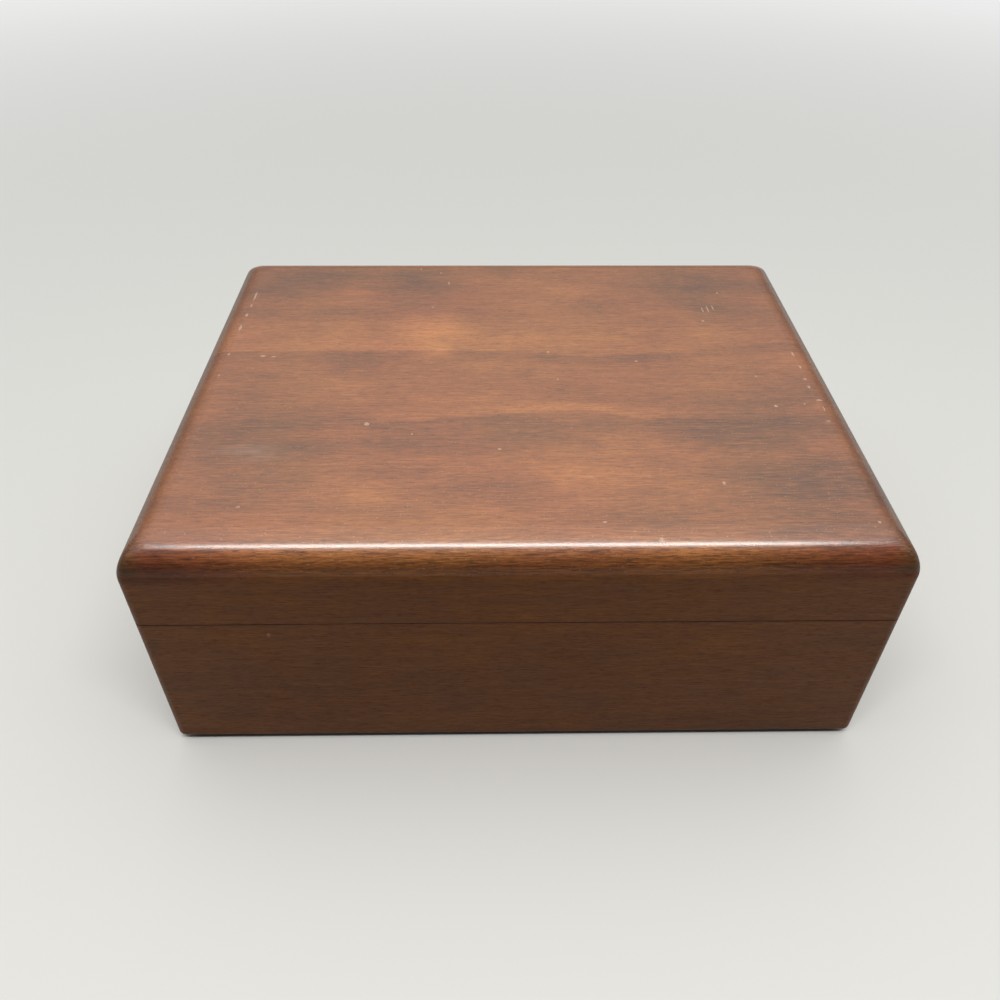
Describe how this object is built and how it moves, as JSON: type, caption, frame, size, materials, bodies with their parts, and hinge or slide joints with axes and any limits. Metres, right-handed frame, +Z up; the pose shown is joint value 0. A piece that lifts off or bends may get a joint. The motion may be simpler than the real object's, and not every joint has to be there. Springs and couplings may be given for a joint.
{
  "type": "cigar humidor",
  "caption": "Rectangular mahogany cigar humidor with a rounded hinged lid, cedar lining, loose divider, and a humidifier and dial hygrometer inside the lid.",
  "frame": {"origin": "centre of the underside, on the surface that the box stands on", "axes": "+X to the right as seen from the front, +Y to the back where the hinges are, +Z up"},
  "size_m": [0.305, 0.2474, 0.1175],
  "materials": {
    "mahogany": "hand-rubbed satin lacquer",
    "cedar": "unfinished, planed",
    "felt": "dark felt",
    "brass": "polished, lightly aged",
    "steel": "brushed",
    "magnet": "nickel-plated",
    "case_plastic": "moulded, matte",
    "foam": "open-cell water foam",
    "dial": "matte white enamel",
    "pointer": "blued and lacquered",
    "spring": "rolled strip",
    "clear_glass": "polished"
  },
  "bodies": {
    "base": {"base_back_wall": "mahogany", "base_bottom_panel": "mahogany", "base_felt_pad": "felt", "base_front_wall": "mahogany", "base_left_wall": "mahogany", "base_right_wall": "mahogany", "cedar_back_lining": "cedar", "cedar_floor": "cedar", "cedar_front_lining": "cedar", "cedar_left_lining": "cedar", "cedar_right_lining": "cedar", "hinge_base_screws": "brass", "hinge_left_base_leaf": "brass", "hinge_left_pin": "brass", "hinge_right_base_leaf": "brass", "hinge_right_pin": "brass"},
    "lid": {"hinge_left_lid_leaf": "brass", "hinge_lid_screws": "brass", "hinge_right_lid_leaf": "brass", "humidifier_keeper": "steel", "lid_back_lining": "cedar", "lid_back_rail": "mahogany", "lid_ceiling": "cedar", "lid_front_lining": "cedar", "lid_front_rail": "mahogany", "lid_left_lining": "cedar", "lid_left_rail": "mahogany", "lid_right_lining": "cedar", "lid_right_rail": "mahogany", "lid_top_board": "mahogany"},
    "left_stay": {"hinge_left_stay": "brass"},
    "right_stay": {"hinge_right_stay": "brass"},
    "divider": {"cedar_divider": "cedar"},
    "humidifier": {"humidifier_case": "case_plastic", "humidifier_foam": "foam", "humidifier_grille": "brass", "humidifier_magnets": "magnet"},
    "hygrometer": {"hygrometer_bezel": "brass", "hygrometer_case": "brass", "hygrometer_coil": "spring", "hygrometer_dial": "dial", "hygrometer_glass": "clear_glass"},
    "pointer": {"hygrometer_arbor": "steel", "hygrometer_pointer": "pointer"}
  },
  "joints": [
    {"name": "lid_hinge", "type": "hinge", "parent": "base", "child": "lid", "pos_m": [0, 0.1225, 0.0786], "axis": [-1, 0, 0], "range_deg": [0, 95]},
    {"name": "left_stay_swing", "type": "hinge", "parent": "base", "child": "left_stay", "pos_m": [0, 0.1225, 0.0786], "axis": [-1, 0, 0], "range_deg": [0, 47.5]},
    {"name": "right_stay_swing", "type": "hinge", "parent": "base", "child": "right_stay", "pos_m": [0, 0.1225, 0.0786], "axis": [-1, 0, 0], "range_deg": [0, 47.5]},
    {"name": "divider_lift", "type": "slide", "parent": "base", "child": "divider", "axis": [0, 0, 1], "range_m": [0, 0.032]},
    {"name": "humidifier_pull", "type": "slide", "parent": "lid", "child": "humidifier", "axis": [0, 0, -1], "range_m": [0, 0.02]},
    {"name": "hygrometer_pull", "type": "slide", "parent": "lid", "child": "hygrometer", "axis": [0, 0, -1], "range_m": [0, 0.012]},
    {"name": "pointer_turn", "type": "hinge", "parent": "hygrometer", "child": "pointer", "pos_m": [0.085, 0, 0.0935], "axis": [0, 0, 1], "range_deg": [-189, 81]}
  ],
  "couplings": [
    {"joint": "left_stay_swing", "follows": "lid_hinge", "ratio": 0.5},
    {"joint": "right_stay_swing", "follows": "lid_hinge", "ratio": 0.5}
  ]
}
